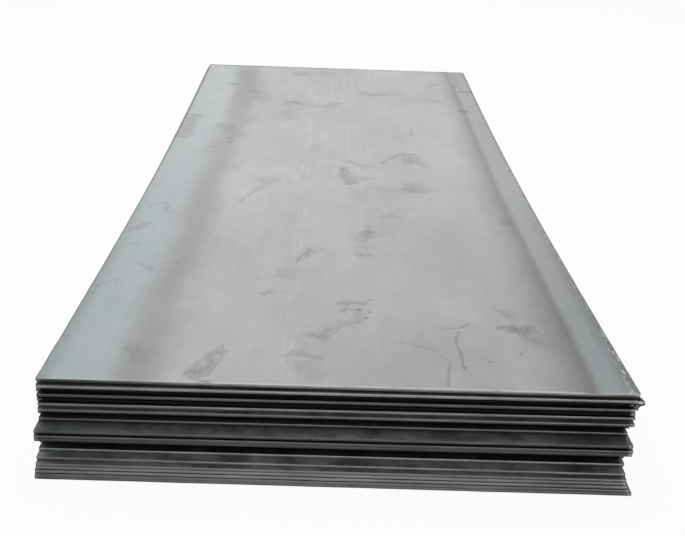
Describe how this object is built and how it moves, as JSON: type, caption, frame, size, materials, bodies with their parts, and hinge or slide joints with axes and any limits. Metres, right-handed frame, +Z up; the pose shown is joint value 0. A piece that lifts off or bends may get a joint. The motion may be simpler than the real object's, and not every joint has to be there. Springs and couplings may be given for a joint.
{
  "type": "stack of steel plates",
  "caption": "Stack of flat hot-rolled steel plates cut to length from coil, ends lifted by a slight bow and staggered, one corner turned down.",
  "frame": {"origin": "on the ground under the middle of the stack's box", "axes": "+Z up, +Y along the plates from the pictured front ends to the back ends, +X across the plates to the right"},
  "size_m": [1.5344, 4.0854, 0.256],
  "materials": {
    "top_face": "pickled-looking mill scale with pale long edges and walked-on marks",
    "sheared_plate": "dark mill scale with sheared ends",
    "inner_plate": "dark mill scale, covered on both faces"
  },
  "bodies": {
    "root": {"plate_01_top": "top_face", "plate_02_turned_corner": "sheared_plate", "plate_03": "inner_plate", "plate_04": "inner_plate", "plate_05": "sheared_plate", "plate_06": "inner_plate", "plate_07": "inner_plate", "plate_08": "sheared_plate", "plate_09": "sheared_plate", "plate_10": "inner_plate", "plate_11": "inner_plate", "plate_12": "sheared_plate", "plate_13": "sheared_plate", "plate_14": "sheared_plate", "plate_15": "sheared_plate", "plate_16": "inner_plate", "plate_17": "inner_plate", "plate_18": "inner_plate", "plate_19": "inner_plate", "plate_20": "inner_plate", "plate_21": "sheared_plate", "plate_22": "sheared_plate", "plate_23": "sheared_plate", "plate_24": "sheared_plate", "plate_25": "sheared_plate", "plate_26": "sheared_plate", "plate_27_bottom": "sheared_plate"}
  },
  "joints": []
}
